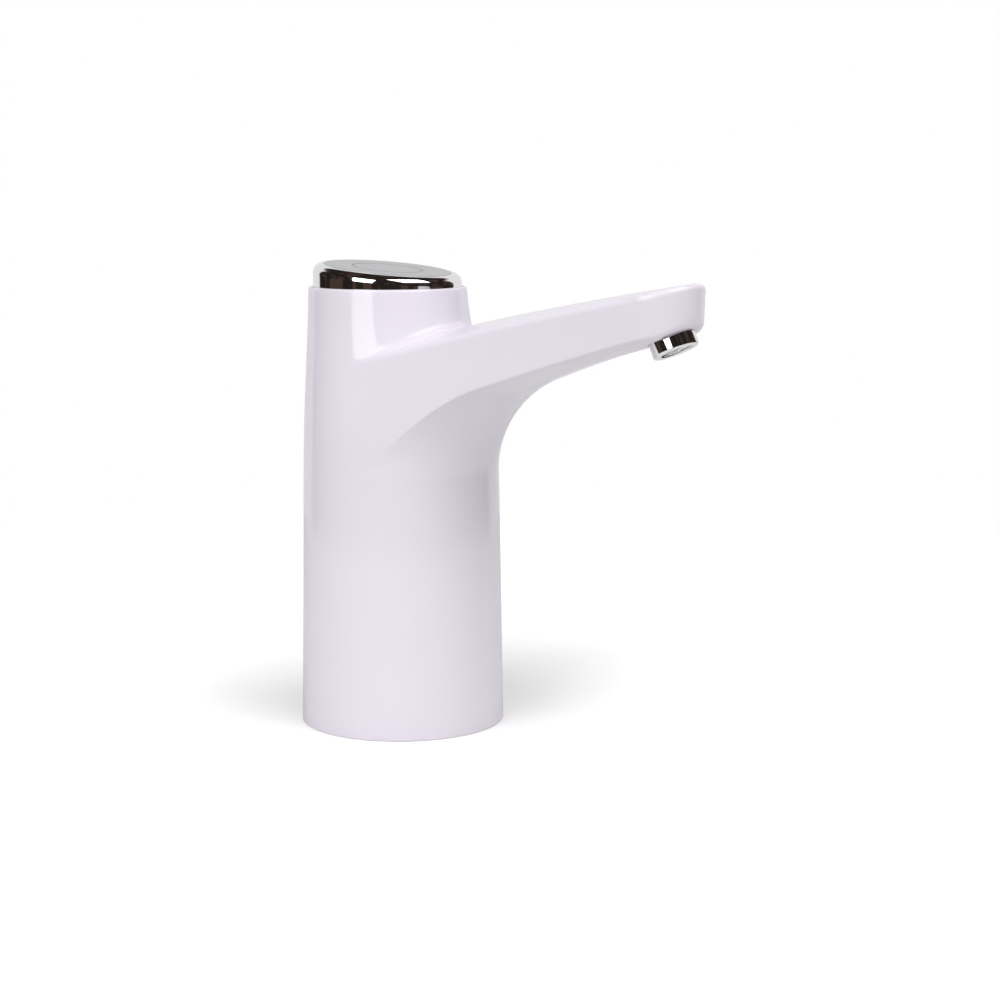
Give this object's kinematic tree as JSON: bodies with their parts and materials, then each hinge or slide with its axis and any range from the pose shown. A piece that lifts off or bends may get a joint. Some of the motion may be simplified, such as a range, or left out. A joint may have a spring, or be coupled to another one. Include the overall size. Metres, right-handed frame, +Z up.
{
  "type": "water jug pump",
  "caption": "Battery-powered pump for a water jug: round white column on a neck socket, arm with a spout, press cap on top.",
  "frame": {"origin": "centre of the neck socket's mouth, on the plane the foot stands on", "axes": "+Z up along the column, +X along the arm to the spout, +Y to the left of someone facing along the arm"},
  "size_m": [0.1441, 0.066, 0.149],
  "materials": {
    "shell_white": "high-gloss moulded plastic",
    "chrome": "bright chrome plating",
    "satin_disc": "satin plated disc",
    "inner_white": "plain moulded plastic",
    "silicone": "translucent white silicone",
    "black_rubber": "matt black rubber",
    "pump_plastic": "fine-grained dark plastic",
    "gear_plastic": "natural acetal",
    "steel": "zinc-plated steel",
    "motor_steel": "drawn plated steel",
    "magnet": "dark ferrite",
    "copper": "wound core with copper wire",
    "cell_wrap": "plain shrink wrap",
    "board_green": "solder-masked board",
    "switch_black": "moulded black plastic"
  },
  "bodies": {
    "housing": {"housing_left": "shell_white", "housing_right": "shell_white", "neck_ring": "inner_white", "neck_seal": "silicone", "neck_ring_screws": "steel", "chassis": "inner_white", "pump_cover": "pump_plastic", "pump_gasket": "black_rubber", "pump_body": "pump_plastic", "idler_pin": "steel", "shaft_seal": "black_rubber", "pump_screws": "steel", "motor_can": "motor_steel", "motor_magnets": "magnet", "motor_end_cap": "inner_white", "motor_terminals": "steel", "motor_sleeve": "black_rubber", "battery_cell": "cell_wrap", "battery_holder": "inner_white", "battery_contacts": "steel", "outlet_hose": "silicone", "hose_clips": "steel", "spout_elbow": "inner_white", "spout_collar": "chrome", "spout_insert": "inner_white", "button_deck": "inner_white", "deck_screws": "steel", "circuit_board": "board_green", "board_screws": "steel", "push_switch": "switch_black", "charge_socket": "motor_steel", "button_spring": "steel"},
    "press_cap": {"button_cap": "chrome", "button_disc": "satin_disc", "switch_stem": "switch_black"},
    "rotor": {"drive_gear": "gear_plastic", "motor_shaft": "steel", "motor_armature": "copper"},
    "idler": {"idler_gear": "gear_plastic"}
  },
  "joints": [
    {"name": "cap_press", "type": "slide", "parent": "housing", "child": "press_cap", "axis": [0, 0, -1], "range_m": [0, 0.0015], "stiffness_N_per_m": 700, "springref_m": -0.002, "deforming": ["button_spring"]},
    {"name": "rotor_spin", "type": "hinge", "parent": "housing", "child": "rotor", "pos_m": [0.0042, 0.00562, 0.06], "axis": [0, 0, 1], "continuous": true},
    {"name": "idler_spin", "type": "hinge", "parent": "housing", "child": "idler", "pos_m": [0.0042, -0.00562, 0.042], "axis": [0, 0, 1], "continuous": true}
  ],
  "couplings": [
    {"joint": "idler_spin", "follows": "rotor_spin", "ratio": -1}
  ]
}
